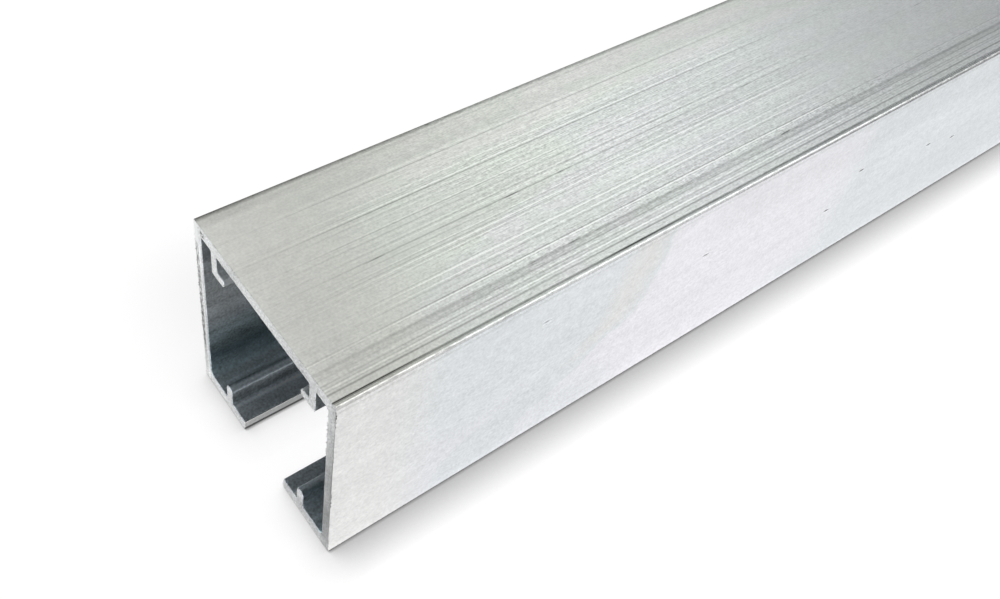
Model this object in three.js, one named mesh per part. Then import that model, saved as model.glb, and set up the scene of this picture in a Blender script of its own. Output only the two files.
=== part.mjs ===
// Top-hung sliding-door track: one length of extruded aluminium with a square, slotted C section.
// Units are millimetres. The track lies slot down on its two flanges, with its length along X,
// and the origin is under its middle, at the level that the flanges rest on.
import * as THREE from "three";

// The length as cut, and the outside of the section.
const LENGTH = 1000;
const WIDTH = 40;
const HEIGHT = 40;

// Wall thicknesses.
const SIDE_WALL = 2;
const TOP_WEB = 2.3;
const FLANGE = 2.3;

// The slot between the flanges, in which the trolley's hanger bolt travels.
const SLOT_WIDTH = 12.6;

// The rails: one upright rib on each flange, with a fully rounded crest for a grooved wheel.
const RAIL_GAUGE = 22.8; // from rail centre to rail centre
const RAIL_THICKNESS = 1.8;
const RAIL_HEIGHT = 3.9; // from the flange up to the crest

// The hooks: L-shaped legs under the web, with their feet turned towards the middle.
const HOOK_CHANNEL = 3.2; // clear width from the side wall to the leg
const HOOK_LEG = 1.6; // thickness of the leg
const HOOK_GAP = 3.5; // clear height from the web down to the foot
const HOOK_FOOT = 1.6; // thickness of the foot
const HOOK_REACH = 2.1; // how far the foot reaches past the leg

// Radii of the die's corners.
const TOP_CORNER_R = 0.8;
const BOTTOM_CORNER_R = 0.6;
const WEB_FILLET_R = 0.6; // inside, from side wall to web
const FLANGE_FILLET_R = 1.2; // inside, from side wall to flange
const ROOT_FILLET_R = 0.4; // at the foot of each rail and the top of each hook
const SLOT_EDGE_R = 0.35;
const HOOK_HEEL_R = 0.5;
const HOOK_TOE_R = 0.6;

// Each rounded corner is an arc of twice this many flats.
const ARC_STEPS = 4;

const ALUMINIUM = new THREE.MeshStandardMaterial({
  name: "mill_finish_aluminium",
  color: 0xc6c8c5,
  roughness: 0.38,
  metalness: 1,
});

// A corner of the section's outline: where its two sides would meet, and the arc that rounds it.
function corner(x, y, radius) {
  return { at: new THREE.Vector2(x, y), radius };
}

// The corners of one half of the section, from the outer top corner round to the root of the hook.
// x is the distance from the middle plane, and y is the height above the floor.
function halfSectionCorners() {
  const outerX = WIDTH / 2;
  const wallX = outerX - SIDE_WALL;
  const webY = HEIGHT - TOP_WEB;
  const slotX = SLOT_WIDTH / 2;
  return [
    corner(outerX, HEIGHT, TOP_CORNER_R),
    corner(outerX, 0, BOTTOM_CORNER_R),
    corner(slotX, 0, SLOT_EDGE_R),
    corner(slotX, FLANGE, SLOT_EDGE_R),
    ...railCorners(),
    corner(wallX, FLANGE, FLANGE_FILLET_R),
    corner(wallX, webY, WEB_FILLET_R),
    ...hookCorners(wallX - HOOK_CHANNEL, webY),
  ];
}

// The rail stands on the flange, and its two crest arcs meet in a half circle.
function railCorners() {
  const innerX = (RAIL_GAUGE - RAIL_THICKNESS) / 2;
  const outerX = innerX + RAIL_THICKNESS;
  const crestY = FLANGE + RAIL_HEIGHT;
  const crestR = RAIL_THICKNESS / 2;
  return [
    corner(innerX, FLANGE, ROOT_FILLET_R),
    corner(innerX, crestY, crestR),
    corner(outerX, crestY, crestR),
    corner(outerX, FLANGE, ROOT_FILLET_R),
  ];
}

// The hook hangs from the web: down the outer side of its leg, round its foot and back up inside.
function hookCorners(legOuterX, webY) {
  const legInnerX = legOuterX - HOOK_LEG;
  const toeX = legInnerX - HOOK_REACH;
  const footTopY = webY - HOOK_GAP;
  const footUnderY = footTopY - HOOK_FOOT;
  return [
    corner(legOuterX, webY, ROOT_FILLET_R),
    corner(legOuterX, footUnderY, HOOK_HEEL_R),
    corner(toeX, footUnderY, HOOK_TOE_R),
    corner(toeX, footTopY, HOOK_TOE_R),
    corner(legInnerX, footTopY, ROOT_FILLET_R),
    corner(legInnerX, webY, ROOT_FILLET_R),
  ];
}

// The other half of the section, in the order that carries the outline on round.
function mirrored(corners) {
  return corners.map(({ at, radius }) => corner(-at.x, at.y, radius)).reverse();
}

// Draws one corner onto the path, as a straight line up to an arc that touches both sides.
function addRoundedCorner(path, before, { at, radius }, after) {
  const arriving = at.clone().sub(before.at).normalize();
  const leaving = after.at.clone().sub(at).normalize();
  const turn = Math.atan2(arriving.cross(leaving), arriving.dot(leaving));
  const setback = radius * Math.tan(Math.abs(turn) / 2);
  const start = at.clone().addScaledVector(arriving, -setback);
  const towardsCentre = new THREE.Vector2(-arriving.y, arriving.x).multiplyScalar(Math.sign(turn));
  const centre = start.clone().addScaledVector(towardsCentre, radius);
  const startAngle = start.clone().sub(centre).angle();
  path.absarc(centre.x, centre.y, radius, startAngle, startAngle + turn, turn < 0);
}

// A closed shape through the corners, each one rounded by its own radius.
function roundedShape(corners) {
  const shape = new THREE.Shape();
  corners.forEach((here, i) => {
    const before = corners.at(i - 1);
    const after = corners[(i + 1) % corners.length];
    addRoundedCorner(shape, before, here, after);
  });
  shape.closePath();
  return shape;
}

// The section as the die leaves it, the same on both sides of the middle plane.
function trackSection() {
  const half = halfSectionCorners();
  return roundedShape([...half, ...mirrored(half)]);
}

// The extrusion itself, square-cut at both ends, turned from the section's plane to lie along X.
function trackProfile() {
  const geometry = new THREE.ExtrudeGeometry(trackSection(), {
    depth: LENGTH,
    bevelEnabled: false,
    curveSegments: ARC_STEPS,
  });
  geometry.translate(0, 0, -LENGTH / 2);
  const profile = new THREE.Mesh(geometry, ALUMINIUM);
  profile.name = "track_profile";
  const across = new THREE.Vector3(0, 1, 0);
  const up = new THREE.Vector3(0, 0, 1);
  const along = new THREE.Vector3(1, 0, 0);
  profile.quaternion.setFromRotationMatrix(new THREE.Matrix4().makeBasis(across, up, along));
  return profile;
}

const track = new THREE.Group();
track.name = "sliding_door_track";
track.add(trackProfile());

export default track;
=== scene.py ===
import math

import bmesh
import bpy
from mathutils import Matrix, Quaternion, Vector


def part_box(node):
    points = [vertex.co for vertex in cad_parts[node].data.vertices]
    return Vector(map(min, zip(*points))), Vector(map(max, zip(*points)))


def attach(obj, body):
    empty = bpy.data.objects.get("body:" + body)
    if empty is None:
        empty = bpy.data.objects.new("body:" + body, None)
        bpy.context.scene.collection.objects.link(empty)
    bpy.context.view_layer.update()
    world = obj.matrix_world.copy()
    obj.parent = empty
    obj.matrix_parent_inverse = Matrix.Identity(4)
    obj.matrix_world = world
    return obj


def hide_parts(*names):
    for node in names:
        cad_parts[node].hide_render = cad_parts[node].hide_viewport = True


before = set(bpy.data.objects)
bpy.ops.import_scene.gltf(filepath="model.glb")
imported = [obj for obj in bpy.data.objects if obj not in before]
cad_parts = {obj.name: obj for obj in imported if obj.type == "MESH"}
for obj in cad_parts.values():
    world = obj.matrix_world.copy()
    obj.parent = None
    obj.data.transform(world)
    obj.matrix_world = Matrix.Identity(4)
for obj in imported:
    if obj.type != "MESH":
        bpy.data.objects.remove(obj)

bl_info = {
    "name": "Sliding-door track",
    "version": (1, 0, 0),
    "blender": (4, 5, 0),
    "location": "3D View > Sidebar > Track",
    "description": "Dresses a packed length of extruded aluminium track and sets its stage",
    "category": "Object",
}

MM = 0.001
TRACK = "track_profile"

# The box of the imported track, in metres: its length lies along X and its section across Y and Z.
# Its near side is the one at -Y, and its far side the one at +Y.
LOWEST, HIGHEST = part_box(TRACK)
HALF_LENGTH = (HIGHEST.x - LOWEST.x) / 2
HALF_WIDTH = (HIGHEST.y - LOWEST.y) / 2
HALF_HEIGHT = (HIGHEST.z - LOWEST.z) / 2
MIDDLE_Z = LOWEST.z + HALF_HEIGHT
SAME_PLACE = 0.001 * MM

# The sawn ends, the sides and the top in millimetres, in which all marks on the metal are placed.
END = HALF_LENGTH / MM
SIDE = HALF_WIDTH / MM
TOP = HIGHEST.z / MM

# The section's own sizes, in millimetres.
WALL = 2
WEB = 2.3
FLANGE = 2.3
SLOT_HALF_WIDTH = 6.3
RAIL_MIDDLE = 11.4
RAIL_INNER = RAIL_MIDDLE - 0.9
RAIL_OUTER = RAIL_MIDDLE + 0.9
FOOT_CORNER = 0.6
TOP_CORNER = 0.8

# How far from a sawn end the rings of the mesh lie before they settle to an even step.
END_RINGS = (0, 0.12, 0.18, 0.6, 2, 9)

# The shallow groove that the die leaves along the near top edge: its place across the track, half
# its width, and the mesh lines that shape it.
EDGE_GROOVE = -18.95
GROOVE_HALF_WIDTH = 0.19
GROOVE_POINTS = (-0.19, -0.1, 0, 0.1, 0.17)

# Knocks that the track has picked up: the place along it, the face across it and the height.
KNOCKS = (
    (-379.6, -20, 24.7), (-354, -20, 19.6), (-343.7, -20, 17.1), (-386, -20, 16.8),
    (-424, -20, 26), (-462, -20, 33), (118, -20, 12),
    (-210, 20, 28), (65, 20, 9), (304, 20, 31),
)
KNOCK_MARK = "knocked"
KNOCK_RADIUS = 0.6

# The rings of the mesh round a knock. A knock is a round pit in space that is narrowed by so much
# along the track, which makes it longer than it is high.
KNOCK_RINGS = (-1.6, -0.8, 0, 0.8, 1.6)
KNOCK_NARROWING = (0.36, 1, 1)

# The size of the relief's die lines, and of the raggedness along the sawn edges.
LINE_WIDTH = 0.5
LINE_LENGTH = 90
RAGGED_SIZE = 0.7

# The knot of burr where the saw has turned the far top corner over: its place in metres, its reach,
# its crumbs and their scale. Along the edges only a share of the steps has a crumb.
BURR_KNOT = (LOWEST.x, 17.4 * MM, 38.6 * MM)
KNOT_SIZE = 0.6
KNOT_CRUMBS = 16
KNOT_CRUMB_SCALE = 1.3
SHARE_OF_CRUMBS = 0.35


class TrackFinish(bpy.types.PropertyGroup):
    """The sizes and the colour of the track's surface."""

    line_depth: bpy.props.FloatProperty(
        name="Die line depth",
        description="How far the fine lines that the die leaves stand out of the metal",
        default=0.006 * MM, min=0, unit="LENGTH", precision=6,
    )
    line_pitch: bpy.props.FloatProperty(
        name="Die line pitch",
        description="The step between mesh lines on the outer faces",
        default=0.3 * MM, min=0.1 * MM, unit="LENGTH", precision=5,
    )
    inner_pitch: bpy.props.FloatProperty(
        name="Inner pitch",
        description="The step between mesh lines on the inner faces and the underside",
        default=0.8 * MM, min=0.1 * MM, unit="LENGTH", precision=5,
    )
    ring_step: bpy.props.FloatProperty(
        name="Ring step",
        description="The step between the mesh's rings along the length",
        default=22 * MM, min=2 * MM, unit="LENGTH", precision=4,
    )
    edge_break: bpy.props.FloatProperty(
        name="Edge break",
        description="How far the saw and the file have taken back the edges of the ends",
        default=0.1 * MM, min=0, unit="LENGTH", precision=5,
    )
    foot_radius: bpy.props.FloatProperty(
        name="Foot radius",
        description="The radius of the two outer edges that the track lies on",
        default=0.25 * MM, min=0.05 * MM, unit="LENGTH", precision=5,
    )
    far_radius: bpy.props.FloatProperty(
        name="Far edge radius",
        description="The radius of the top edge on the far side",
        default=0.35 * MM, min=0.05 * MM, unit="LENGTH", precision=5,
    )
    groove_depth: bpy.props.FloatProperty(
        name="Edge groove depth",
        description="How deep the fine groove along the near top edge is",
        default=0.05 * MM, min=0, unit="LENGTH", precision=5,
    )
    knock_depth: bpy.props.FloatProperty(
        name="Knock depth",
        description="How deep the knocks in the side faces are",
        default=0.08 * MM, min=0, unit="LENGTH", precision=5,
    )
    burr_size: bpy.props.FloatProperty(
        name="Burr size",
        description="The size of the crumbs of metal that the saw leaves on the edges",
        default=0.24 * MM, min=0, unit="LENGTH", precision=5,
    )
    burr_step: bpy.props.FloatProperty(
        name="Burr step",
        description="The step along the sawn edges at which a crumb may stand",
        default=0.55 * MM, min=0.1 * MM, unit="LENGTH", precision=5,
    )
    metal: bpy.props.FloatVectorProperty(
        name="Bare metal",
        description="The colour of the mill-finish aluminium",
        default=(0.72, 0.72, 0.712), min=0, max=1, subtype="COLOR",
    )
    sawn: bpy.props.FloatVectorProperty(
        name="Sawn metal",
        description="The colour of the freshly cut ends",
        default=(0.51, 0.518, 0.518), min=0, max=1, subtype="COLOR",
    )


class TrackStage(bpy.types.PropertyGroup):
    """The floor and the light that the track is shown in."""

    floor_tint: bpy.props.FloatVectorProperty(
        name="Floor",
        description="The colour of the floor",
        default=(0.88, 0.88, 0.88), min=0, max=1, subtype="COLOR",
    )
    floor_size: bpy.props.FloatProperty(
        name="Floor size",
        description="The side of the square floor",
        default=24.0, min=1, unit="LENGTH",
    )
    lamp_power: bpy.props.FloatProperty(
        name="Softbox power",
        description="The power of the large lamp over the track",
        default=5.0, min=0, unit="POWER",
    )


# Node helpers


def arithmetic(operation, swapped=False):
    """What a sign such as + does with a value and another one, which stands first when swapped."""
    def worked_out(value, other):
        return maths(operation, other, value) if swapped else maths(operation, value, other)

    return worked_out


class Value:
    """What a node gives: a number, a vector, a shape. Sums of values add the nodes they need."""

    def __init__(self, socket):
        self.socket = socket
        self.tree = socket.id_data

    __add__ = arithmetic("ADD")
    __radd__ = arithmetic("ADD", swapped=True)
    __sub__ = arithmetic("SUBTRACT")
    __rsub__ = arithmetic("SUBTRACT", swapped=True)
    __mul__ = arithmetic("MULTIPLY")
    __rtruediv__ = arithmetic("DIVIDE", swapped=True)
    __pow__ = arithmetic("POWER")

    def __abs__(self):
        return maths("ABSOLUTE", self)

    def ramp(self, low, high, at_low=0, at_high=1):
        """A smooth step from at_low to at_high while this value goes from low to high."""
        return node(self.tree, "ShaderNodeMapRange", {
            "Value": self, "From Min": low, "From Max": high, "To Min": at_low, "To Max": at_high,
        }, "Result", interpolation_type="SMOOTHSTEP")

    def fade(self, low, high, at_low=0, at_high=1):
        """The same smooth step for a place, with low and high in millimetres."""
        return self.ramp(low * MM, high * MM, at_low, at_high)

    def strip(self, middle, half_width):
        """1 in the middle of a strip, falling smoothly to 0 at its two sides, in millimetres."""
        return abs(self - middle * MM).fade(half_width, 0)

    def over(self, limit):
        """1 where this place is past a limit in millimetres, and 0 before it."""
        return maths("GREATER_THAN", self, limit * MM)

    def under(self, limit):
        """1 where this place is before a limit in millimetres, and 0 past it."""
        return maths("LESS_THAN", self, limit * MM)

    def swing(self, reach):
        """A value from 0 to 1, as a share above or below zero."""
        return (self - 0.5) * (2 * reach)


def add_node(tree, kind, inputs=None, **settings):
    """Adds a node, sets its options, and fills its inputs with numbers or with values."""
    made = tree.nodes.new(kind)
    for key, setting in settings.items():
        setattr(made, key, setting)
    for key, given in (inputs or {}).items():
        if isinstance(given, Value):
            tree.links.new(given.socket, made.inputs[key])
        else:
            made.inputs[key].default_value = given
    return made


def node(tree, kind, inputs=None, key=0, **settings):
    """Adds a node and gives the value of one of its outputs."""
    return Value(add_node(tree, kind, inputs, **settings).outputs[key])


def connect(value, made):
    """Leads a value into the first input of a node."""
    made.id_data.links.new(value.socket, made.inputs[0])


def tree_of(values):
    """The tree that the values are worked out in."""
    return next(value.tree for value in values if isinstance(value, Value))


def maths(operation, *values, clamp=False):
    """The value that a Math node gives."""
    inputs = dict(enumerate(values))
    return node(tree_of(values), "ShaderNodeMath", inputs, operation=operation, use_clamp=clamp)


def vector_maths(operation, *values, key=0):
    """The vector, or the number, that a Vector Math node gives."""
    inputs = dict(enumerate(values))
    return node(tree_of(values), "ShaderNodeVectorMath", inputs, key, operation=operation)


def scaled(vector, scale):
    """The vector times a number."""
    inputs = {0: vector, "Scale": scale}
    return node(tree_of((vector, scale)), "ShaderNodeVectorMath", inputs, operation="SCALE")


def largest(one, other):
    """The larger of two values."""
    return maths("MAXIMUM", one, other)


def mix(share, one, other):
    """The number between one and other."""
    return node(share.tree, "ShaderNodeMix", {0: share, 2: one, 3: other})


def mix_colours(share, one, other):
    """The colour between one and other."""
    one, other = (c if isinstance(c, Value) else (*c, 1) for c in (one, other))
    return node(share.tree, "ShaderNodeMix", {0: share, 6: one, 7: other}, 2, data_type="RGBA")


def parts(vector):
    """The three numbers of a vector."""
    made = add_node(vector.tree, "ShaderNodeSeparateXYZ", {0: vector})
    return [Value(output) for output in made.outputs]


def noise(place, seed, detail=1):
    """Noise from 0 to 1 with patches of about one unit."""
    inputs = {"Vector": place, "W": seed, "Scale": 1, "Detail": detail}
    return node(place.tree, "ShaderNodeTexNoise", inputs, noise_dimensions="4D")


def wavy(place, along, across, seed, detail=1, upright=None):
    """Noise with patches of the given size in millimetres. Long narrow ones are drawn lines."""
    size = (along * MM, across * MM, (upright or across) * MM)
    return noise(vector_maths("DIVIDE", place, size), seed, detail)


def hairlines(place, spacing, seed, breadth):
    """Thin lines along the track, each the whole length: 1 on a line and 0 beside it."""
    return abs(wavy(place, 4000, spacing, seed, 2) - 0.5).ramp(breadth, 0)


def new_material(name):
    """A node material, its tree, and the output node that its shader goes to."""
    material = bpy.data.materials.new(name)
    material.use_nodes = True
    tree = material.node_tree
    tree.nodes.clear()
    return material, tree, add_node(tree, "ShaderNodeOutputMaterial")


# The track's outline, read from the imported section


def section_outline(track):
    """The corners (y, z) of the section, in order round it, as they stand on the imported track."""
    packed = bmesh.new()
    packed.from_mesh(track.data)
    bmesh.ops.remove_doubles(packed, verts=packed.verts, dist=SAME_PLACE)
    packed.normal_update()
    rim = {}
    for edge in packed.edges:
        at_end = all(abs(v.co.x - LOWEST.x) < SAME_PLACE for v in edge.verts)
        if at_end and any(abs(face.normal.x) < 0.5 for face in edge.link_faces):
            one, other = edge.verts
            rim.setdefault(one, []).append(other)
            rim.setdefault(other, []).append(one)
    start = next(iter(rim))
    loop, before, here = [], None, start
    while not loop or here is not start:
        loop.append((here.co.y, here.co.z))
        before, here = here, next(v for v in rim[here] if v is not before)
    packed.free()
    area = sum(a[0] * b[1] - b[0] * a[1] for a, b in zip(loop, loop[1:] + loop[:1]))
    return loop if area > 0 else loop[::-1]


def on_outside(y, z):
    """True on the four outer planes of the track."""
    return min(HALF_WIDTH - abs(y), z - LOWEST.z, HIGHEST.z - z) < SAME_PLACE


def with_crisp_corner(outline, side_y, side_z, drawn, radius):
    """The outline with one of its four outer corners redrawn to a smaller radius."""
    share = radius / drawn
    crisp = []
    for y, z in outline:
        out_y = side_y * y - (HALF_WIDTH - drawn)
        out_z = side_z * (z - MIDDLE_Z) - (HALF_HEIGHT - drawn)
        if min(out_y, out_z) > -SAME_PLACE:
            y = side_y * (HALF_WIDTH - radius + out_y * share)
            z = MIDDLE_Z + side_z * (HALF_HEIGHT - radius + out_z * share)
        crisp.append((y, z))
    return crisp


def track_outline(finish):
    """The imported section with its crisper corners: both feet and the far top edge."""
    outline = section_outline(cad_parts[TRACK])
    for side in (-1, 1):
        outline = with_crisp_corner(outline, side, -1, FOOT_CORNER * MM, finish.foot_radius)
    return with_crisp_corner(outline, 1, 1, TOP_CORNER * MM, finish.far_radius)


def finer_outline(outline, outer_pitch, inner_pitch):
    """The outline with its long straight stretches divided, so that fine relief has points to move."""
    points = []
    for one, other in zip(outline, outline[1:] + outline[:1]):
        length = math.dist(one, other)
        above = max(one[1], other[1]) - LOWEST.z > SAME_PLACE
        pitch = outer_pitch if above and on_outside(*one) and on_outside(*other) else inner_pitch
        steps = max(1, round(length / pitch))
        shares = [i / steps for i in range(steps)]
        if min(one[1], other[1]) > HIGHEST.z - SAME_PLACE:
            places = [EDGE_GROOVE * MM + off * MM for off in GROOVE_POINTS]
            shares += [(place - one[0]) / (other[0] - one[0]) for place in places]
        points += [tuple(a + (b - a) * share for a, b in zip(one, other)) for share in sorted(shares)]
    return points


def new_object(name, data):
    """An object with this data, in the scene."""
    made = bpy.data.objects.new(name, data)
    bpy.context.scene.collection.objects.link(made)
    return made


def wire(name, points, edges):
    """An object of points and of the edges between them."""
    mesh = bpy.data.meshes.new(name)
    mesh.from_pydata(points, edges, [])
    return new_object(name, mesh)


def closed_edges(count, first=0):
    """Edges that join so many points in a ring, from the first one on."""
    return [(first + i, first + (i + 1) % count) for i in range(count)]


def ring_places(ring_step):
    """The places along the track of the mesh's rings: close at the ends and at the knocks."""
    places = set()
    for inward in END_RINGS:
        places.update((LOWEST.x + inward * MM, HIGHEST.x - inward * MM))
    reach = HALF_LENGTH - END_RINGS[-1] * MM
    steps = math.ceil(2 * reach / ring_step)
    places.update(-reach + 2 * reach * i / steps for i in range(steps + 1))
    for along, _, _ in KNOCKS:
        places.update(along * MM + beside * MM for beside in KNOCK_RINGS)
    return sorted(places)


def plain_piece(name, tree, values, source, *helpers):
    """A plain mesh object: what the tree makes of the source and its helpers, which then go."""
    modifier = source.modifiers.new(tree.name, "NODES")
    modifier.node_group = tree
    set_inputs(modifier, values)
    depsgraph = bpy.context.evaluated_depsgraph_get()
    mesh = bpy.data.meshes.new_from_object(source.evaluated_get(depsgraph), depsgraph=depsgraph)
    mesh.name = name
    # The slot of a source that has no material of its own comes along empty.
    if None in list(mesh.materials):
        mesh.materials.pop(index=list(mesh.materials).index(None))
    for used in (source, *helpers):
        bpy.data.objects.remove(used)
    return new_object(name, mesh)


def set_inputs(modifier, values):
    """Sets a Geometry Nodes modifier's inputs, which are known by the names in its tree."""
    for item in modifier.node_group.interface.items_tree:
        if item.item_type == "SOCKET" and item.in_out == "INPUT" and item.name in values:
            modifier[item.identifier] = values[item.name]


def geometry_tree(name, sockets):
    """A Geometry Nodes tree with named inputs, the values they give, and its output node."""
    tree = bpy.data.node_groups.new(name, "GeometryNodeTree")
    tree.is_modifier = True
    for label, kind in [("Geometry", "Geometry"), *sockets]:
        tree.interface.new_socket(label, in_out="INPUT", socket_type="NodeSocket" + kind)
    tree.interface.new_socket("Geometry", in_out="OUTPUT", socket_type="NodeSocketGeometry")
    entry = add_node(tree, "NodeGroupInput")
    given = {output.name: Value(output) for output in entry.outputs if output.name}
    return tree, given, add_node(tree, "NodeGroupOutput")


# The drawn track


def line_relief(tree, given, place):
    """How far the lines of the die stand out of the metal."""
    across = 1 / given["Line width"]
    along = 1 / given["Line length"]
    stretch = node(tree, "ShaderNodeCombineXYZ", {"X": along, "Y": across, "Z": across})
    lines = noise(vector_maths("MULTIPLY", place, stretch), given["Seed"])
    return (lines - 0.5) * given["Line depth"]


def knock_pits(tree, given, place):
    """1 in the middle of each knock and 0 round it. A knock is longer along the track than high."""
    knocks = node(tree, "GeometryNodeObjectInfo", {"Object": given["Knocks"]}, "Geometry")
    narrowed = node(tree, "GeometryNodeTransform", {"Geometry": knocks, "Scale": KNOCK_NARROWING})
    distance = node(tree, "GeometryNodeProximity", {
        "Geometry": narrowed, "Sample Position": vector_maths("MULTIPLY", place, KNOCK_NARROWING),
    }, "Distance", target_element="POINTS")
    return distance.ramp(0, given["Knock radius"], 1, 0)


def taken_back(tree, given, place, x):
    """How far the saw and the file have taken back the edges of the two ends."""
    at_end = maths("GREATER_THAN", abs(x), given["Half length"] - SAME_PLACE)
    ragged = node(tree, "ShaderNodeTexNoise", {"Vector": place, "Scale": 1 / (RAGGED_SIZE * MM)})
    return at_end * ((ragged + 0.3) * given["Edge break"])


def drawn_track_tree():
    """Draws the section along the centre line, as the die does, with its lines, knocks and sawn edges."""
    tree, given, out = geometry_tree("drawn_track", (
        ("Centre line", "Object"), ("Knocks", "Object"), ("Half length", "Float"),
        ("Line depth", "Float"), ("Line width", "Float"), ("Line length", "Float"),
        ("Edge break", "Float"), ("Groove depth", "Float"), ("Knock depth", "Float"),
        ("Knock radius", "Float"), ("Seed", "Float"), ("Mill finish", "Material"),
        ("Sawn face", "Material"),
    ))
    section = node(tree, "GeometryNodeMeshToCurve", {"Mesh": given["Geometry"]})
    line = node(tree, "GeometryNodeObjectInfo", {"Object": given["Centre line"]}, "Geometry")
    path = node(tree, "GeometryNodeMeshToCurve", {"Mesh": line})
    drawing = {"Curve": path, "Profile Curve": section, "Fill Caps": True}
    body = node(tree, "GeometryNodeCurveToMesh", drawing)
    place = node(tree, "GeometryNodeInputPosition")
    normal = node(tree, "GeometryNodeInputNormal")
    x, y, z = parts(place)

    # All relief stands square to the faces along the track, and none to the sawn ends.
    pit = knock_pits(tree, given, place)
    groove = y.strip(EDGE_GROOVE, GROOVE_HALF_WIDTH) * maths("GREATER_THAN", z, HIGHEST.z - SAME_PLACE)
    relief = line_relief(tree, given, place) - pit * given["Knock depth"]
    relief = relief - groove * given["Groove depth"] - taken_back(tree, given, place, x)
    sideways = vector_maths("NORMALIZE", vector_maths("MULTIPLY", normal, (0, 1, 1)))

    marked = node(tree, "GeometryNodeStoreNamedAttribute", {
        "Geometry": body, "Name": KNOCK_MARK, "Value": pit,
    }, data_type="FLOAT", domain="POINT")
    offset = scaled(sideways, relief)
    moved = node(tree, "GeometryNodeSetPosition", {"Geometry": marked, "Offset": offset})
    whole = node(tree, "GeometryNodeRealizeInstances", {"Geometry": moved})
    finish = {"Geometry": whole, "Material": given["Mill finish"]}
    milled = node(tree, "GeometryNodeSetMaterial", finish)
    faces_end = maths("GREATER_THAN", abs(parts(normal)[0]), 0.9)
    finish = {"Geometry": milled, "Selection": faces_end, "Material": given["Sawn face"]}
    connect(node(tree, "GeometryNodeSetMaterial", finish), out)
    return tree


# Lines that the die draws the whole length of the top face: the place across it, half the line's
# width, and how much darker the line is, or brighter where the number is below zero.
DIE_LINES = (
    (-19.2, 0.2, 0.38), (-18.9, 0.32, 0.62), (-17.5, 0.26, 0.42), (-17.0, 0.12, 0.15),
    (-16.7, 0.18, -0.4), (-16.4, 0.15, 0.2), (-15.9, 0.18, 0.3), (-15.55, 0.15, -0.22),
    (-14.9, 0.22, 0.26), (-14.4, 1.0, 0.14), (-13.8, 0.5, 0.28), (-12.8, 0.4, -0.1),
    (-12.3, 0.16, -1.0), (-12.0, 0.15, 0.46), (-10.5, 0.35, -0.07), (-9.9, 0.2, 0.22),
    (-9.45, 0.15, -0.45), (-8.3, 0.17, -0.5), (-7.9, 0.15, 0.25), (-6.4, 0.7, -0.06),
    (-5.1, 0.15, -0.4), (-4.7, 0.15, 0.18), (-4.15, 0.2, -0.4), (-3.7, 0.15, 0.28),
    (-3.15, 0.13, 0.18), (-2.9, 0.13, -0.3), (-1.8, 0.2, 0.2), (-0.75, 0.24, 0.32),
    (0.2, 0.2, -0.16), (0.65, 0.15, 0.2), (0.95, 0.13, -0.25), (1.3, 0.15, 0.14),
    (2.1, 0.3, -0.14), (2.6, 0.2, 0.22), (3.7, 0.16, 0.27), (4.0, 0.13, -0.25),
    (5.7, 0.3, -0.08), (6.3, 0.2, 0.16), (7.45, 0.17, 0.46), (7.85, 0.17, -0.6),
    (8.45, 0.2, 0.2), (9.35, 0.18, -0.25), (10.05, 0.13, -0.16), (10.8, 1.0, -0.06),
    (12.65, 0.3, -0.08), (13.15, 0.17, 0.32), (13.6, 0.2, -0.14), (15.2, 1.6, 0.04),
    (18.3, 0.3, 0.1),
)


# How rough the metal is outside on faces and round corners, and inside on walls and on the rails'
# crests, and where the crests begin.
FACE_ROUGHNESS = 0.38
CORNER_ROUGHNESS = 0.16
INNER_ROUGHNESS = 0.48
CREST_ROUGHNESS = 0.32
CREST_LOW = FLANGE + 2.9
CREST_HIGH = FLANGE + 3.3

# The tint of plain grey metal, and the darkest that a torn place of the cut gets.
WHITE = (1, 1, 1)
DARKEST_CUT = 0.08


class MilledPlaces:
    """Where a point of the metal lies, how its face is turned, and what part of the track it is on."""

    def __init__(self, tree):
        self.place = node(tree, "ShaderNodeTexCoord", key="Object")
        x, self.y, self.z = parts(self.place)
        self.across = abs(self.y)
        self.from_end = HALF_LENGTH - abs(x)
        self.facing = parts(node(tree, "ShaderNodeNewGeometry", key="Normal"))
        self.on_top = self.z.fade(TOP - 0.5, TOP - 0.1)
        self.on_side = 1 - self.on_top
        between_walls = self.across.under(SIDE - WALL + 0.1)
        self.inside = between_walls * self.z.over(FLANGE - 0.1) * self.z.under(TOP - WEB + 0.3)
        # Lines are fainter further in, and most of all on one stretch of the top that is polished.
        polished = self.from_end.fade(104, 124) * self.from_end.fade(260, 200) * self.y.fade(-13.5, -11)
        self.unworn = 1 - polished * 0.8
        self.fading = self.from_end.fade(70, 105, 1, 0.75)


def line_strength(at):
    """How strong the fine lines are: they come and go, and are faint at the ends and on the sides."""
    kept = wavy(at.place, 80, 14, 156).ramp(0.3, 0.6, 0.3, 1.15)
    smoothed = at.from_end.fade(4, 36, 0.12, 1)
    calm = at.y.fade(8, 13, 1, 0.5)
    return smoothed * kept * calm * at.unworn * at.fading * at.on_top.ramp(0, 1, 0.2, 1)


def fine_lines(at, strength):
    """Fine lines at chance places: how much brighter or darker they are."""
    worn = wavy(at.place, 34, 0.5, 24).ramp(0.36, 0.6)
    fine = wavy(at.place, 300, 0.17, 1, 2).swing(0.18)
    dark = hairlines(at.place, 0.9, 21, 0.05) * worn * -0.11
    bright = hairlines(at.place, 1.2, 22, 0.04) * (1.2 - worn) * 0.16
    scored = wavy(at.place, 50, 0.26, 6).ramp(0.3, 0.22, 0, -0.15)
    return strength * (fine + dark + bright + scored)


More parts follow.
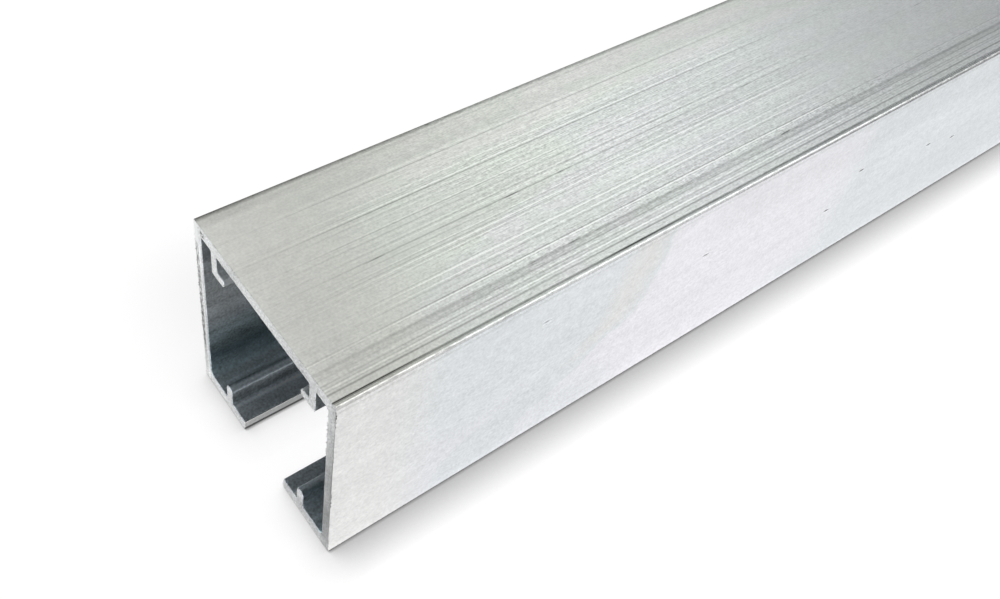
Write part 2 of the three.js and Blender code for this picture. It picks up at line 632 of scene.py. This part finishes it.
def die_lines(at):
    """The lines that the die draws the whole length of the top: how much darker they are."""
    dull = sum(at.y.strip(middle, half) * depth for middle, half, depth in DIE_LINES if depth > 0)
    shiny = sum(at.y.strip(middle, half) * depth for middle, half, depth in DIE_LINES if depth < 0)
    # The shiny lines are fainter by the ends, and nearly gone from the polished stretch on.
    shiny = shiny * at.from_end.fade(12, 36, 0.55, 0.9) * at.from_end.fade(100, 122, 1, 0.1)
    broken = wavy(at.place, 30, 0.8, 8).ramp(0.3, 0.6, 0.75, 1.15)
    # Towards the sawn ends the lines fade, but for those beside the near edge.
    smoothed = at.from_end.fade(30, 4) * (
        at.y.fade(-17.2, -15.5, 0.05, 0.55) + at.y.fade(-13.5, -11, 0, 0.25)
    )
    fading = mix(at.y.fade(-13, -10), 1, at.fading)
    return (dull + shiny) * broken * at.on_top * at.unworn * (1 - smoothed) * fading


def marks_on_top(at):
    """How much darker the top is for its lines and marks, more of them by the near edge, and brighter for
    a painted highlight there by the saw.
    """
    softer = largest(at.from_end.fade(142, 126, 0.6, 1), at.y.fade(-18.6, -18.2))
    gouge = at.y.strip(-18.8, 0.12) * at.on_top * at.from_end.fade(18, 8) * 0.45
    # A painted highlight along the near top edge, close to the saw.
    painted_edge_highlight = at.y.strip(-19.15, 0.35) * at.on_top * at.from_end.fade(22, 8) * -0.4
    nicked_lines = at.y.strip(-13.65, 0.22) + at.y.strip(-0.8, 0.2)
    nicks = nicked_lines * wavy(at.place, 5, 0.6, 29).ramp(0.62, 0.72) * at.on_top * 0.5
    # For a stretch the groove beside the near edge is darker here and there.
    groove = at.y.strip(EDGE_GROOVE, 0.32) * at.on_top * at.from_end.fade(44, 54)
    darker = groove * at.from_end.fade(96, 78) * wavy(at.place, 14, 1, 31).ramp(0.4, 0.6, 0.08, 0.28)
    return die_lines(at) * softer + gouge + painted_edge_highlight + nicks + darker


def leaning_distance(at):
    """How far a point of the side is from the sawn end, measured to a line that leans and wanders."""
    wander = wavy(at.place, 8, 8, 27).swing(4 * MM)
    return at.from_end - at.z * 0.25 + at.z.fade(24, 2, 0, 20 * MM) + wander


def haze_on_sides(at, leaning):
    """Soft haze on the sides: in chance clouds, in one long stretch, and in a veil near the sawn end."""
    clouds = wavy(at.place, 60, 30, 71).ramp(0.4, 0.6)
    stretch = at.from_end.fade(108, 124) * at.from_end.fade(260, 200)
    veil = leaning.fade(57, 55.4) * leaning.fade(26, 44)
    return largest(largest(clouds, stretch), veil) * at.on_side


def mottle(at, strength):
    """Broad streaks, clouds, grain, peel and specks. The grain is rougher where lines are strong."""
    streaks = wavy(at.place, 240, 2.2, 2).swing(0.04)
    clouds = wavy(at.place, 26, 12, 3).swing(0.04)
    drawn_grain = wavy(at.place, 1.4, 0.2, 4).swing(0.16) * (at.on_top * at.from_end.fade(18, 42, 0.4, 1))
    grain = drawn_grain + wavy(at.place, 0.45, 0.45, 18, 2).swing(0.12)
    rougher = at.y.fade(-10, -13, 1, 1.4)
    grain = grain * (1 + strength + strength) * rougher * at.from_end.fade(30, 5, 1, 1.2)
    peel = wavy(at.place, 2.2, 1.3, 14, 2).swing(0.09)
    field = wavy(at.place, 0.8, 0.45, 26, 2)
    specks = field.ramp(0.62, 0.7, 0, 0.09) + field.ramp(0.36, 0.3, 0, -0.12)
    return [streaks, clouds, grain, peel, specks * at.from_end.fade(60, 10, 0.3, 1) * at.on_side]


def side_shades(at):
    """Painted light and shade on the sides: paler low down, but not by the ends, and darker further in,
    first high up.
    """
    lower = at.z.fade(14, 3, 0, 0.03) * at.on_side * at.from_end.fade(10, 28, -0.8, 1)
    upper = at.z.fade(25, 33) * at.from_end.fade(72, 86) * -0.055
    return [lower, at.on_side * (at.from_end.fade(125, 165, 0, -0.035) + upper)]


def edge_shade(at):
    """Painted shade along both top edges: the far one all round, the near one below its crest, and the
    crest itself further in and in chips by the saw.
    """
    near_half = at.y.under(-SIDE / 2)
    lower = at.z.strip(TOP - 0.8, 0.9) * near_half * -0.14
    upper = at.z.strip(TOP - 0.3, 0.2) * near_half * at.from_end.fade(60, 110, -0.02, -0.45)
    chips = wavy(at.place, 2.5, 0.6, 23, 2).ramp(0.5, 0.4, 0, -0.3) * at.from_end.fade(60, 20)
    darkening = at.from_end.fade(110, 145, 0, -0.4) + chips
    crest = at.y.strip(0.45 - SIDE, 0.3) * at.z.over(TOP - 0.5) * darkening
    far = at.y.fade(SIDE - 1.3, SIDE - 0.35, 0, -0.5) * at.z.over(TOP - 0.85)
    return lower + upper + crest + far


def top_shades(at):
    """A darker strip with short marks along the far edge, a paler middle, and a darker band by the saw.
    """
    marks = wavy(at.place, 5, 0.2, 28, 2).ramp(0.4, 0.3, 0, -0.16)
    darkening = at.from_end.fade(52, 42, 0, -0.05) + at.from_end.fade(16, 5, 0, -0.1) + marks
    far_strip = at.on_top * at.y.fade(16.9, 17.9) * darkening
    middle = at.on_top * at.y.fade(-12, -8) * at.y.fade(13, 11) * at.from_end.fade(16, 28, 0, 0.04)
    return [far_strip, middle, at.on_top * at.from_end.fade(9, 5, 0, -0.035)]


def top_slopes(at):
    """The top is a little paler towards its far side, and darker at the near corner of the saw cut."""
    near_corner = at.on_top * at.from_end.fade(20, 5) * at.y.fade(3, -5) * -0.05
    return [at.on_top * at.y.fade(2, 12, 0, 0.02), near_corner]


def knock_shade(at, tree):
    """Painted shade in the knocks: they are dark, and the more so further in."""
    knocked = node(tree, "ShaderNodeAttribute", key="Fac", attribute_name=KNOCK_MARK)
    return knocked.ramp(0.25, 0.8, 1, at.from_end.fade(40, 115, 0.6, 0.1))


def painted_foot_shade(at):
    """Painted contact shade: a dark line where a face comes down to the floor, broader at the slot, and
    not underneath.
    """
    underneath = maths("LESS_THAN", at.facing[2], -0.95)
    at_slot = at.across.under(SIDE / 2)
    return largest(underneath, mix(at_slot, at.z.fade(0.1, 0.4, 0.3, 1), at.z.fade(0.4, 0.8, 0.05, 1)))


def flange_light_and_shade(at):
    """Painted highlights make the flange pale at its bend, by the rail and on the rail's crest, and
    painted shade dark up its side.
    """
    root = at.across.strip(RAIL_INNER - 0.77, 0.6) * at.z.fade(FLANGE + 0.5, FLANGE + 0.3, 0, 0.75)
    low_side = at.across.strip(RAIL_INNER, 0.15) * at.z.fade(FLANGE + 0.1, FLANGE + 0.3, 0, -0.32)
    side = low_side * at.z.fade(FLANGE + 0.6, FLANGE + 3, 1, 0.3)
    crest = at.across.fade(RAIL_MIDDLE + 0.5, RAIL_MIDDLE - 0.5)
    crest = crest * at.z.fade(CREST_LOW, CREST_HIGH, 0, 0.65)
    bend = at.across.fade(16.4, 17) * at.z.fade(4.5, 2.8, 0, 0.22)
    gutter = at.across.fade(RAIL_OUTER, RAIL_OUTER + 0.6) * at.z.fade(FLANGE + 1, FLANGE + 0.3)
    gutter = gutter * (0.06 + at.across.strip(15, 0.6) * 0.25)
    return [root, side, crest, bend, gutter, at.z.fade(3.4, 2.6, 0, 0.06)]


def inner_tone(at):
    """Inside, painted shade: darkest a little above the flange, with streaks, clouds and speckle."""
    heights = at.z.fade(9, 16, 0.7, 1.1) + at.z.fade(9, 6, 0, 0.3) + at.z.fade(24, 32, 0, 0.08)
    streaks = wavy(at.place, 90, 2, 15).swing(0.4)
    clouds = wavy(at.place, 5, 2.5, 17, 2).swing(0.4)
    speckle = wavy(at.place, 0.45, 0.45, 20, 2).swing(0.7) * at.from_end.fade(40, 4, 0.3, 1)
    tone = sum(flange_light_and_shade(at), heights + streaks + clouds + speckle)
    return tone * at.from_end.fade(3, 25, 0.88, 1.06)


def top_tint(at):
    """The top is faintly yellow near the ends, bluer further in and nearly grey where it is sawn."""
    wander = wavy(at.place, 12, 12, 9).swing(16 * MM)
    bluer_from = at.y.fade(-12, 1, 15 * MM, 60 * MM) + at.y.fade(8, 12, 0, 30 * MM) + wander
    bluer = (at.from_end - bluer_from).fade(-4, 4)
    tint = mix_colours(bluer, (0.97, 1, 0.972), (0.982, 1, 1.008))
    paler = largest(at.from_end.fade(24, 12), at.y.fade(8, 12, 0, 0.6) + at.y.fade(15, 17, 0, 0.4))
    tint = mix_colours(paler, tint, (1, 1, 0.983))
    flecks = wavy(at.place, 9, 3.5, 19).ramp(0.4, 0.6)
    flecked = mix_colours(flecks, (1.01, 0.995, 1.01), (0.99, 1.005, 0.99))
    return vector_maths("MULTIPLY", tint, mix_colours(at.from_end.fade(15, 35), WHITE, flecked))


def side_tint(at, haze, leaning):
    """The sides are faintly violet, bluer under the haze, and grey where rubbed and by the saw."""
    tint = mix_colours(haze, (0.988, 0.98, 1.03), (0.965, 1, 1.035))
    rubbed = leaning.strip(50, 8) * at.z.fade(12, 22)
    tint = mix_colours(rubbed, tint, (0.985, 0.985, 0.985))
    return mix_colours(at.from_end.fade(22, 8), tint, WHITE)


def inner_tint(at):
    """Painted shade colour: the inside is blue, and most of all low down on the walls."""
    tint = mix_colours(at.z.fade(13, 22), (0.865, 0.945, 1.015), (0.9, 0.935, 0.962))
    low_wall = at.across.fade(SIDE - 3.5, SIDE - 2.5) * at.z.fade(17, 11)
    return mix_colours(low_wall, tint, (0.79, 0.96, 1.035))


def roughness(at):
    """Satin outside and smoother round the corners, and duller inside but for the rails' crests."""
    turned = maths("MINIMUM", abs(at.facing[1]), abs(at.facing[2]))
    crest = at.z.fade(CREST_LOW, CREST_HIGH, INNER_ROUGHNESS, CREST_ROUGHNESS)
    within = mix(at.z.fade(8, 7.8), INNER_ROUGHNESS, crest)
    return mix(at.inside, turned.ramp(0.02, 0.08, FACE_ROUGHNESS, CORNER_ROUGHNESS), within)


def mill_finish(colour):
    """Aluminium as the die leaves it: satin, with fine lines along it and a soft mottle."""
    material, tree, out = new_material("mill_finish_aluminium")
    at = MilledPlaces(tree)
    leaning = leaning_distance(at)
    haze = haze_on_sides(at, leaning)
    strength = line_strength(at)
    lines = fine_lines(at, strength)

    shades = [lines, *mottle(at, strength), *side_shades(at), edge_shade(at), *top_shades(at)]
    tone = sum([*shades, haze * -0.1, *top_slopes(at)], 1)
    # Painted shade in the knocks and along the foot of each face.
    tone = tone * (1 - marks_on_top(at)) * knock_shade(at, tree) * painted_foot_shade(at)
    tone = mix(at.inside, tone, tone * inner_tone(at))
    tint = mix_colours(at.on_top, side_tint(at, haze, leaning), top_tint(at))
    tint = mix_colours(at.inside, tint, inner_tint(at))

    bump = node(tree, "ShaderNodeBump", {
        "Height": lines * at.on_top, "Strength": 0.25, "Distance": 0.015 * MM,
    })
    connect(node(tree, "ShaderNodeBsdfPrincipled", {
        "Base Color": vector_maths("MULTIPLY", scaled(tint, tone), tuple(colour)),
        "Metallic": 1.0,
        "Roughness": roughness(at),
        "Anisotropic": 0.9,
        "Anisotropic Rotation": 0.25,
        "Tangent": node(tree, "ShaderNodeCombineXYZ", {"X": 1.0}),
        "Normal": bump,
    }), out)
    return material


# The sawn ends


def tears(place, y, z):
    """Where the saw has torn the metal: down the far edge, and in pits that crowd round the knot."""
    field = wavy(place, 0.5, 0.4, 12, upright=1)
    torn_edge = y.fade(SIDE - 1.05, SIDE - 0.85) * z.fade(36, 34) * z.fade(5, 12)
    from_knot = vector_maths("DISTANCE", place, BURR_KNOT, key="Value")
    pitted = wavy(place, 0.45, 0.45, 16) - from_knot.fade(1.1, 0.4, 0, 0.27)
    return largest(field.ramp(0.57, 0.49) * torn_edge, pitted.ramp(0.27, 0.2))


def smear_and_shade(y, z):
    """How far the cut of the near wall is smeared smooth and painted dark with shade: more on the way
    down.
    """
    heights = z.fade(37, 18, 0, 0.35) + z.fade(18, 8, 0, 0.06)
    return y.fade(0.4 + WALL - SIDE, WALL - SIDE) * heights * z.fade(1, 3.5, 0.3, 1)


def sawn_tone(place, y, z):
    """How bright the cut is, in painted light and shade: pale on the far side and dark on the near one.
    """
    across = y.fade(-9, 0.5, 0.81, 1.03) + y.strip(8, 6) * -0.07
    high = z.fade(18, 38, -0.08, 0.16) * y.fade(8, 16)
    low_corner = y.fade(-9, -13, 0, -0.09) * z.fade(4, 2.5)
    coarse = wavy(place, 3, 3, 13).swing(0.25)
    grain = wavy(place, 0.36, 0.36, 11, 2).swing(0.85)
    # The saw has turned the far top corner over: it is pale and smooth, with a pale ridge below it.
    turned_over = y.fade(SIDE - 1.5, SIDE - 0.9) * z.fade(34.5, 36)
    ridge = y.strip(SIDE - 1.35, 0.4) * z.fade(36, 34)
    smeared_and_shaded = smear_and_shade(y, z)
    outer_edge = y.strip(0.05 - SIDE, 0.3) + y.fade(1.8 - SIDE, 0.2 - SIDE) * 0.25
    tone = sum([
        high, low_corner, coarse, tears(place, y, z) * -0.75,
        grain * (1 - largest(smeared_and_shaded, turned_over)), turned_over * 0.15, ridge * 0.3, smeared_and_shaded * -1,
        outer_edge * z.fade(10, 22, 0.15, 1) * -0.45,
    ], across)
    return largest(tone, DARKEST_CUT)


def sawn_metal(colour):
    """The cut ends: grainy and dull, with small tears."""
    material, tree, out = new_material("sawn_aluminium")
    place = node(tree, "ShaderNodeTexCoord", key="Object")
    _, y, z = parts(place)
    tone = sawn_tone(place, y, z)
    bump = node(tree, "ShaderNodeBump", {"Height": tone, "Strength": 0.6, "Distance": 0.08 * MM})
    connect(node(tree, "ShaderNodeBsdfPrincipled", {
        "Base Color": scaled(tuple(colour), tone), "Metallic": 1.0, "Roughness": 0.45, "Normal": bump,
    }), out)
    return material


# The burr that the saw leaves


def saw_burr_tree():
    """Crumbs of metal at chance places along the sawn edges, and a knot of larger ones."""
    tree, given, out = geometry_tree("saw_burr", (
        ("Burr size", "Float"), ("Burr step", "Float"), ("Share kept", "Float"),
        ("Knot", "Vector"), ("Knot size", "Float"), ("Seed", "Int"), ("Sawn face", "Material"),
    ))
    edge = node(tree, "GeometryNodeMeshToCurve", {"Mesh": given["Geometry"]})
    spacing = {"Curve": edge, "Length": given["Burr step"]}
    spots = node(tree, "GeometryNodeCurveToPoints", spacing, "Points", mode="LENGTH")
    crumb = node(tree, "GeometryNodeMeshIcoSphere", {"Radius": 0.5, "Subdivisions": 1}, "Mesh")

    def chance(low, high, offset):
        """A chance number or vector between low and high, by the seed plus an offset."""
        kind, first, output = ("FLOAT_VECTOR", 0, 0) if isinstance(low, tuple) else ("FLOAT", 2, 1)
        inputs = {first: low, first + 1: high, "Seed": given["Seed"] + offset}
        return node(tree, "FunctionNodeRandomValue", inputs, output, data_type=kind)

    # No crumb stands where the track rests on the floor.
    height = parts(node(tree, "GeometryNodeInputPosition"))[2]
    clear = maths("GREATER_THAN", height, given["Burr size"] * 0.5)
    kept = maths("LESS_THAN", chance(0, 1, 1), given["Share kept"] * clear)
    turn = chance((0, 0, 0), (math.tau,) * 3, 2)
    scale = scaled(chance((0.3, 0.3, 0.3), (1, 1, 1), 3), given["Burr size"])
    crumbs = node(tree, "GeometryNodeInstanceOnPoints", {
        "Points": spots, "Selection": kept, "Instance": crumb, "Rotation": turn, "Scale": scale,
    })

    # The knot lies flat against the sawn end, where the saw has turned the corner over.
    spread = scaled(chance((-0.1, -1, -1), (0.1, 1, 1), 4), given["Knot size"])
    knot = node(tree, "GeometryNodePoints", {
        "Count": KNOT_CRUMBS, "Position": vector_maths("ADD", given["Knot"], spread),
    })
    knotted = node(tree, "GeometryNodeInstanceOnPoints", {
        "Points": knot, "Instance": crumb, "Rotation": turn, "Scale": scaled(scale, KNOT_CRUMB_SCALE),
    })
    joined = add_node(tree, "GeometryNodeJoinGeometry")
    for part in (knotted, crumbs):
        connect(part, joined)
    whole = node(tree, "GeometryNodeRealizeInstances", {"Geometry": Value(joined.outputs[0])})
    finish = {"Geometry": whole, "Material": given["Sawn face"]}
    connect(node(tree, "GeometryNodeSetMaterial", finish), out)
    return tree


class TRACK_OT_drawn_track(bpy.types.Operator):
    """Makes the drawn track with its die lines, knocks and sawn ends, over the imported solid"""

    bl_idname = "track.drawn_track"
    bl_label = "Drawn track"

    def execute(self, context):
        finish = context.scene.track_finish
        outline = finer_outline(track_outline(finish), finish.line_pitch, finish.inner_pitch)
        rings = ring_places(finish.ring_step)
        steps = [(i, i + 1) for i in range(len(rings) - 1)]
        # The section's own plane is turned a half turn from the way the path carries it.
        section = wire("section", [(-y, -z, 0) for y, z in outline], closed_edges(len(outline)))
        centre = wire("centre_line", [(x, 0, 0) for x in rings], steps)
        knocks = wire("knocks", [[size * MM for size in knock] for knock in KNOCKS], [])
        piece = plain_piece("extruded_track", drawn_track_tree(), {
            "Centre line": centre, "Knocks": knocks, "Half length": HALF_LENGTH,
            "Line depth": finish.line_depth, "Line width": LINE_WIDTH * MM,
            "Line length": LINE_LENGTH * MM, "Edge break": finish.edge_break,
            "Groove depth": finish.groove_depth, "Knock depth": finish.knock_depth,
            "Knock radius": KNOCK_RADIUS * MM, "Seed": 7.0,
            "Mill finish": mill_finish(finish.metal), "Sawn face": sawn_metal(finish.sawn),
        }, section, centre, knocks)
        piece.data.set_sharp_from_angle(angle=math.radians(30))
        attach(piece, "root")
        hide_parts(TRACK)
        return {"FINISHED"}


class TRACK_OT_saw_burr(bpy.types.Operator):
    """Sets crumbs of metal along the edges of the two sawn ends"""

    bl_idname = "track.saw_burr"
    bl_label = "Saw burr"

    def execute(self, context):
        finish = context.scene.track_finish
        outline = track_outline(finish)
        count = len(outline)
        points = [(x, y, z) for x in (LOWEST.x, HIGHEST.x) for y, z in outline]
        rim = wire("sawn_edges", points, closed_edges(count) + closed_edges(count, count))
        piece = plain_piece("saw_burr", saw_burr_tree(), {
            "Burr size": finish.burr_size, "Burr step": finish.burr_step,
            "Share kept": SHARE_OF_CRUMBS, "Knot": BURR_KNOT, "Knot size": KNOT_SIZE * MM,
            "Seed": 5, "Sawn face": bpy.data.materials["sawn_aluminium"],
        }, rim)
        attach(piece, "root")
        return {"FINISHED"}


# The stage

CAMERA_AT = Vector((-545.75 * MM, -83.89 * MM, 160.41 * MM))
CAMERA_AIM = Vector((-453.88 * MM, 17.41 * MM, 20.0 * MM))
CAMERA_ROLL = math.radians(8.417)
SENSOR_WIDTH = 36.0
LENS = 38.782
CAMERA_SHIFT = (0.0632, -0.0918)

LAMP_AIM = Vector((-425 * MM, 0, 40 * MM))
LAMP_WAY = Vector((0.05, 0.25, 1.0))
LAMP_DISTANCE = 2.0
LAMP_SIDE = 0.8

# The shade round the track's foot: how far it reaches in millimetres, the way its light comes from,
# and how deep it is beside the track and in the slot.
FOOT_SHADE = 7
FOOT_LIGHT = (-0.14, 0.5, 0.85)
FOOT_DEPTH = 0.72
SLOT_DEPTH = 0.288

# The narrow shade where the track touches the floor, and the broad one behind it.
CONTACT_SHADE = 0.6
CONTACT_DEPTH = 1.4
BEHIND_DEPTH = 0.13

# How much white the floor gives the camera and the metal by itself, and the metal's part of that
# from close beside the track and from the slot.
FLOOR_WHITE = 1.05
CAMERA_GLOW = 0.9
MIRROR_GLOW = 0.41
BESIDE_GLOW = 1.8
SLOT_GLOW = 0.85
GLOW_TINT = (0.985, 0.975, 1.0, 1)


def add_camera():
    """A camera over the sawn end at -X, on the near side, that looks along the track."""
    data = bpy.data.cameras.new("camera")
    data.sensor_width = SENSOR_WIDTH
    data.lens = LENS
    data.shift_x, data.shift_y = CAMERA_SHIFT
    data.clip_start, data.clip_end = 0.01, 100
    camera = new_object("camera", data)
    camera.rotation_mode = "QUATERNION"
    camera.location = CAMERA_AT
    level = (CAMERA_AIM - CAMERA_AT).to_track_quat("-Z", "Y")
    camera.rotation_quaternion = level @ Quaternion((0, 0, 1), CAMERA_ROLL)
    bpy.context.scene.camera = camera


def add_softbox(power):
    """A large square lamp over the track and a little behind it."""
    data = bpy.data.lights.new("softbox", "AREA")
    data.shape = "SQUARE"
    data.size = LAMP_SIDE
    data.energy = power
    lamp = new_object("softbox", data)
    lamp.rotation_mode = "QUATERNION"
    lamp.location = LAMP_AIM + LAMP_WAY.normalized() * LAMP_DISTANCE
    lamp.rotation_quaternion = (-LAMP_WAY).to_track_quat("-Z", "Y")
    lamp.visible_camera = False


def floor_shade(tree, along, y):
    """How bright the floor is for the camera: shaded at the track's foot, in the slot and behind it."""
    lit_from = node(tree, "ShaderNodeCombineXYZ", dict(zip("XYZ", FOOT_LIGHT)))
    lit = {"Distance": FOOT_SHADE * MM, "Normal": lit_from}
    near = node(tree, "ShaderNodeAmbientOcclusion", lit, "AO", samples=8)
    close = {"Distance": CONTACT_SHADE * MM}
    touching = node(tree, "ShaderNodeAmbientOcclusion", close, "AO", samples=8)
    touched = mix(along.fade(END - 0.2, END + 0.2), touching, 1)
    in_slot = abs(y).under(SLOT_HALF_WIDTH) * along.fade(END + 3, END - 4)
    behind = y.fade(SIDE - 12, SIDE + 3) * y.fade(SIDE + 42, SIDE + 14, 0, BEHIND_DEPTH)
    behind = behind * along.fade(END + 16, END - 12)
    foot = near ** mix(in_slot, FOOT_DEPTH, SLOT_DEPTH)
    return foot * touched ** CONTACT_DEPTH * (1 - behind) * FLOOR_WHITE


def floor_glow(along, across):
    """How white the floor shows in the metal: none of it under the track but for the slot."""
    beyond = largest(along.over(END), across.over(SIDE))
    lift = (across - HALF_WIDTH).fade(0, 1.5, BESIDE_GLOW, 1)
    return largest(beyond * lift, across.under(SLOT_HALF_WIDTH) * SLOT_GLOW)


def floor_material(colour):
    """A matt white floor that glows a little, and is shaded where the track stands on it."""
    material, tree, out = new_material("white_floor")
    x, y, _ = parts(node(tree, "ShaderNodeTexCoord", key="Object"))
    along, across = abs(x), abs(y)
    rays = add_node(tree, "ShaderNodeLightPath").outputs
    seen, mirrored = (Value(rays[kind]) for kind in ("Is Camera Ray", "Is Glossy Ray"))
    matt = node(tree, "ShaderNodeBsdfDiffuse", {"Color": (*colour, 1)})
    white = node(tree, "ShaderNodeEmission", {
        "Color": (*WHITE, 1), "Strength": floor_shade(tree, along, y),
    })
    shown = node(tree, "ShaderNodeMixShader", {0: seen * CAMERA_GLOW, 1: matt, 2: white})
    glow = node(tree, "ShaderNodeEmission", {
        "Color": GLOW_TINT, "Strength": mirrored * floor_glow(along, across) * MIRROR_GLOW,
    })
    connect(node(tree, "ShaderNodeAddShader", {0: shown, 1: glow}), out)
    return material


def add_floor(size, colour):
    """A square floor at the level that the track rests on."""
    half = size / 2
    mesh = bpy.data.meshes.new("floor")
    corners = [(-half, -half), (half, -half), (half, half), (-half, half)]
    mesh.from_pydata([(x, y, LOWEST.z) for x, y in corners], [], [(0, 1, 2, 3)])
    mesh.materials.append(floor_material(colour))
    floor = new_object("floor", mesh)


def colour_ramp(value, stops):
    """A colour ramp through the stops, each one a position and a colour."""
    made = add_node(value.tree, "ShaderNodeValToRGB", {"Fac": value})
    elements = made.color_ramp.elements
    elements[0].position, elements[1].position = stops[0][0], stops[-1][0]
    for position, _ in stops[1:-1]:
        elements.new(position)
    for element, (_, colour) in zip(elements, stops):
        element.color = (*colour, 1)
    return Value(made.outputs[0])


# The room round the track's own line, from the horizon behind it over the top to the horizon in
# front: the share of the half turn, and how bright the room is there.
ROOM_ROUND = (
    (0.0, 0.2), (0.14, 0.22), (0.24, 0.49), (0.33, 0.56), (0.43, 0.44), (0.52, 0.46),
    (0.57, 0.9), (0.6, 1.0), (0.63, 0.9), (0.68, 0.5), (0.73, 0.44), (1.0, 0.4),
)
ROOM_STRENGTH = 2.125

# The same along the track's line: the share of the way from square across it to straight along it,
# and the room's colour there. It is for the room behind the track, and the front is plain white.
ROOM_ALONG = (
    (0.0, (0.5, 0.503, 0.478)), (0.36, (0.492, 0.5, 0.47)),
    (0.43, (0.84, 0.875, 0.825)), (0.48, (0.885, 0.915, 0.872)),
    (0.6, (1.0, 1.035, 1.015)), (0.71, (0.85, 0.89, 0.88)),
    (0.82, (0.335, 0.352, 0.358)), (1.0, (0.315, 0.335, 0.345)),
)


def add_world():
    """A pale room for the metal to mirror, and plain white where the camera sees past the floor."""
    world = bpy.data.worlds.new("room")
    world.use_nodes = True
    bpy.context.scene.world = world
    tree = world.node_tree
    tree.nodes.clear()
    along, across, up = parts(node(tree, "ShaderNodeTexCoord", key="Generated"))
    turn = maths("DIVIDE", maths("ARCTAN2", up, across), math.pi, clamp=True)
    level = colour_ramp(turn, [(where, (bright,) * 3) for where, bright in ROOM_ROUND])
    tinted = mix_colours(turn.ramp(0.5, 0.6), colour_ramp(abs(along), ROOM_ALONG), WHITE)
    room = node(tree, "ShaderNodeBackground", {
        "Color": vector_maths("MULTIPLY", tinted, level), "Strength": ROOM_STRENGTH,
    })
    white = node(tree, "ShaderNodeBackground", {"Color": (*WHITE, 1)})
    seen = node(tree, "ShaderNodeLightPath", key="Is Camera Ray")
    both = node(tree, "ShaderNodeMixShader", {0: seen, 1: room, 2: white})
    connect(both, add_node(tree, "ShaderNodeOutputWorld"))


class TRACK_OT_stage(bpy.types.Operator):
    """Sets the floor, the light and the camera"""

    bl_idname = "track.stage"
    bl_label = "Stage"

    def execute(self, context):
        stage = context.scene.track_stage
        add_camera()
        add_floor(stage.floor_size, stage.floor_tint)
        add_world()
        add_softbox(stage.lamp_power)
        context.scene.view_settings.view_transform = "Standard"
        return {"FINISHED"}


class TRACK_PT_sidebar(bpy.types.Panel):
    """The steps that dress the track"""

    bl_label = "Sliding-door track"
    bl_idname = "TRACK_PT_sidebar"
    bl_space_type = "VIEW_3D"
    bl_region_type = "UI"
    bl_category = "Track"

    def draw(self, context):
        for group in (context.scene.track_finish, context.scene.track_stage):
            column = self.layout.column()
            for name in group.__annotations__:
                column.prop(group, name)
        for step in (TRACK_OT_drawn_track, TRACK_OT_saw_burr, TRACK_OT_stage):
            self.layout.operator(step.bl_idname)


CLASSES = (
    TrackFinish, TrackStage, TRACK_OT_drawn_track, TRACK_OT_saw_burr, TRACK_OT_stage, TRACK_PT_sidebar,
)


def register():
    for made in CLASSES:
        bpy.utils.register_class(made)
    bpy.types.Scene.track_finish = bpy.props.PointerProperty(type=TrackFinish)
    bpy.types.Scene.track_stage = bpy.props.PointerProperty(type=TrackStage)


def unregister():
    del bpy.types.Scene.track_stage
    del bpy.types.Scene.track_finish
    for made in reversed(CLASSES):
        bpy.utils.unregister_class(made)


def main():
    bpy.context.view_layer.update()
    register()
    bpy.ops.track.drawn_track()
    bpy.ops.track.saw_burr()
    bpy.ops.track.stage()


if __name__ == "__main__":
    main()
